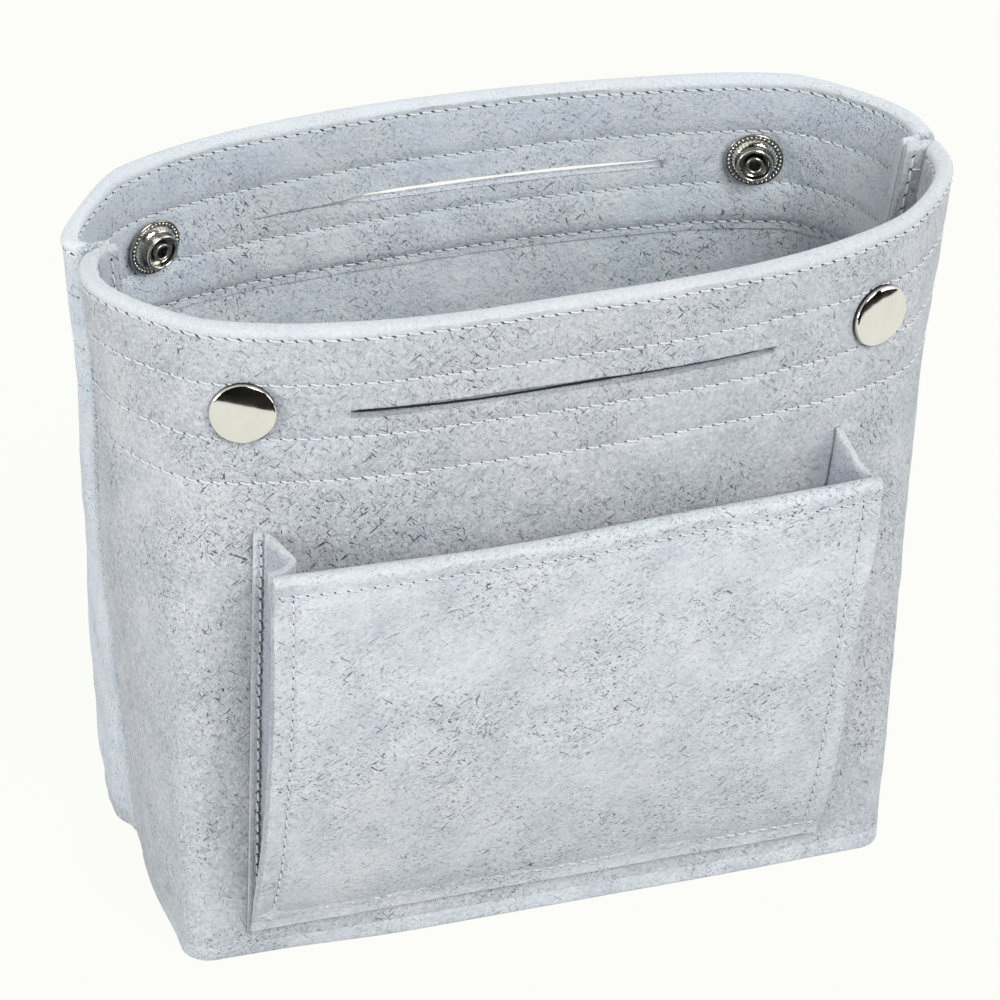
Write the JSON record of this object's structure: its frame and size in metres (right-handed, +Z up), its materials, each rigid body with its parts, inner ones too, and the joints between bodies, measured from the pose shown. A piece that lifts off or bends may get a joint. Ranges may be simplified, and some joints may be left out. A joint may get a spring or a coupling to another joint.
{
  "type": "purse organizer insert",
  "caption": "Open-topped felt tub with an oval folded-hem rim, slit long walls, a bellows front pocket and nickel ring snaps; stands in a handbag and sorts what it holds.",
  "frame": {"origin": "middle of the base's underside", "axes": "+X along the length to the right as seen from the front, +Y to the back, +Z up; the pocket faces -Y"},
  "size_m": [0.1956, 0.1013, 0.162],
  "materials": {
    "felt": "light bluish grey mottled needle felt with fine dark fibre flecks",
    "nickel": "polished nickel plate",
    "nickel_tube": "duller nickel plate on the inner tube and the spring wire"
  },
  "bodies": {
    "base": {"base_panel": "felt", "left_side_front": "felt", "left_side_back": "felt", "right_side_front": "felt", "right_side_back": "felt"},
    "front_wall": {"front_panel": "felt", "pocket_left_pleat": "felt", "pocket_right_pleat": "felt", "front_left_cap": "nickel", "front_left_post": "nickel_tube", "front_left_socket": "nickel", "front_left_ring_spring": "nickel_tube", "front_right_cap": "nickel", "front_right_post": "nickel_tube", "front_right_socket": "nickel", "front_right_ring_spring": "nickel_tube"},
    "back_wall": {"back_panel": "felt", "back_left_cap": "nickel", "back_left_post": "nickel_tube", "back_left_stud": "nickel", "back_right_cap": "nickel", "back_right_post": "nickel_tube", "back_right_stud": "nickel"},
    "pocket": {"pocket_front": "felt"}
  },
  "joints": [
    {"name": "front_wall_lean", "type": "hinge", "parent": "base", "child": "front_wall", "pos_m": [0, -0.038, 0.00415], "axis": [-1, 0, 0], "range_deg": [-5, 10.5], "stiffness_Nm_per_rad": 0.8},
    {"name": "back_wall_lean", "type": "hinge", "parent": "base", "child": "back_wall", "pos_m": [0, 0.038, 0.00415], "axis": [1, 0, 0], "range_deg": [-5, 10.5], "stiffness_Nm_per_rad": 0.8},
    {"name": "pocket_mouth", "type": "hinge", "parent": "front_wall", "child": "pocket", "pos_m": [0, -0.0407, 0.0055], "axis": [1, 0, 0], "range_deg": [-3, 5], "stiffness_Nm_per_rad": 0.15, "deforming": ["pocket_left_pleat", "pocket_right_pleat"]}
  ]
}
